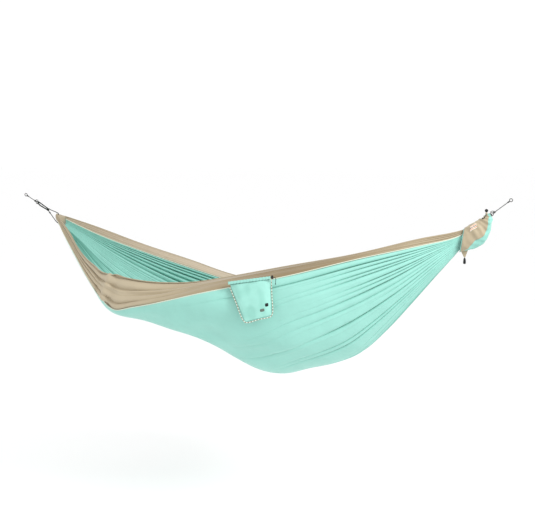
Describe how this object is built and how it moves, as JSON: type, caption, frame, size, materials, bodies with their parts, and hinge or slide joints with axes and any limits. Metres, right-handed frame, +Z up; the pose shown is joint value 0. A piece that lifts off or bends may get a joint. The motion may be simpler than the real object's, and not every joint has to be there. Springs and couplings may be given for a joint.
{
  "type": "camping hammock",
  "caption": "Parachute-cloth camping hammock in a diagonal lay, hung by carabiners from rope eyes, with a piped side pocket and a sleeve bag at one end.",
  "frame": {"origin": "centre of the left rope's eye, which the left anchor holds", "axes": "+X from the left end to the right end, +Y away from the pocket side, +Z up"},
  "size_m": [2.8682, 1.0822, 1.0144],
  "materials": {
    "mint_cloth": "mint parachute nylon, soft sheen",
    "tan_cloth": "tan parachute nylon, soft sheen",
    "piping": "pale stitched piping tape",
    "rope": "grey braided rope",
    "black_cord": "black braided cord",
    "dark_steel": "dark green-black coated steel",
    "black_plastic": "black moulded plastic",
    "badge": "woven badge in plain stripes, no mark"
  },
  "bodies": {
    "suspension": {"left_rope_eye": "rope", "left_rope": "rope", "left_rope_knot": "rope", "left_knot_tail": "rope", "left_rope_loop": "rope", "left_eye_whipping": "black_cord", "right_rope_eye": "rope", "right_rope": "rope", "right_rope_knot": "rope", "right_knot_tail": "rope", "right_rope_loop": "rope", "right_eye_whipping": "black_cord"},
    "hammock": {"left_carabiner_body": "dark_steel", "left_gate_pin": "dark_steel", "left_end_cord": "black_cord", "left_cord_knot": "black_cord", "left_gather": "tan_cloth", "right_carabiner_body": "dark_steel", "right_gate_pin": "dark_steel", "right_end_cord": "black_cord", "right_cord_knot": "black_cord", "right_gather": "tan_cloth", "centre_panel": "mint_cloth", "near_side_panel": "tan_cloth", "far_side_panel": "tan_cloth", "near_seam_piping": "piping", "far_seam_piping": "piping", "near_hem": "tan_cloth", "far_hem": "tan_cloth", "bag_body": "mint_cloth", "bag_panel": "tan_cloth", "bag_badge": "badge", "bag_drawcord": "black_cord", "bag_neck": "tan_cloth", "bag_ball": "black_plastic", "bag_tab": "tan_cloth"},
    "left_gate": {"left_gate": "dark_steel", "left_gate_spring": "dark_steel"},
    "right_gate": {"right_gate": "dark_steel", "right_gate_spring": "dark_steel"},
    "pocket": {"pocket_back": "mint_cloth", "pocket_front": "mint_cloth", "pocket_piping": "piping", "pocket_channel": "mint_cloth", "pocket_drawcord": "black_cord", "pocket_stud": "black_plastic", "pocket_label": "tan_cloth", "pocket_lock_body": "black_plastic", "pocket_lock_spring": "dark_steel"},
    "lock_button": {"pocket_lock_button": "black_plastic"},
    "toggle": {"bag_toggle": "black_plastic"}
  },
  "joints": [
    {"name": "hammock_swing", "type": "hinge", "parent": "suspension", "child": "hammock", "pos_m": [0.078, 0, -0.04687], "axis": [0.9999, 0, -0.0124], "range_deg": [-25, 25]},
    {"name": "left_gate_hinge", "type": "hinge", "parent": "hammock", "child": "left_gate", "pos_m": [0.13641, -0.01124, -0.07208], "axis": [-0.4113, -0.6018, -0.6846], "range_deg": [0, 24], "stiffness_Nm_per_rad": 0.02, "springref_deg": -17.19},
    {"name": "right_gate_hinge", "type": "hinge", "parent": "hammock", "child": "right_gate", "pos_m": [2.70009, 0.01408, -0.11885], "axis": [0.6157, 0, -0.788], "range_deg": [0, 24], "stiffness_Nm_per_rad": 0.02, "springref_deg": -17.19},
    {"name": "pocket_lift", "type": "hinge", "parent": "hammock", "child": "pocket", "pos_m": [1.40472, -0.40401, -0.43261], "axis": [-0.9704, -0.2003, -0.1352], "range_deg": [0, 110]},
    {"name": "lock_button_press", "type": "slide", "parent": "pocket", "child": "lock_button", "axis": [0.1672, -0.1525, -0.9741], "range_m": [0, 0.002], "stiffness_N_per_m": 20, "springref_m": -0.004, "deforming": ["pocket_lock_spring"]},
    {"name": "toggle_swing", "type": "hinge", "parent": "hammock", "child": "toggle", "pos_m": [2.61672, -0.014, -0.31261], "axis": [0, 1, 0], "range_deg": [-35, 35]}
  ]
}
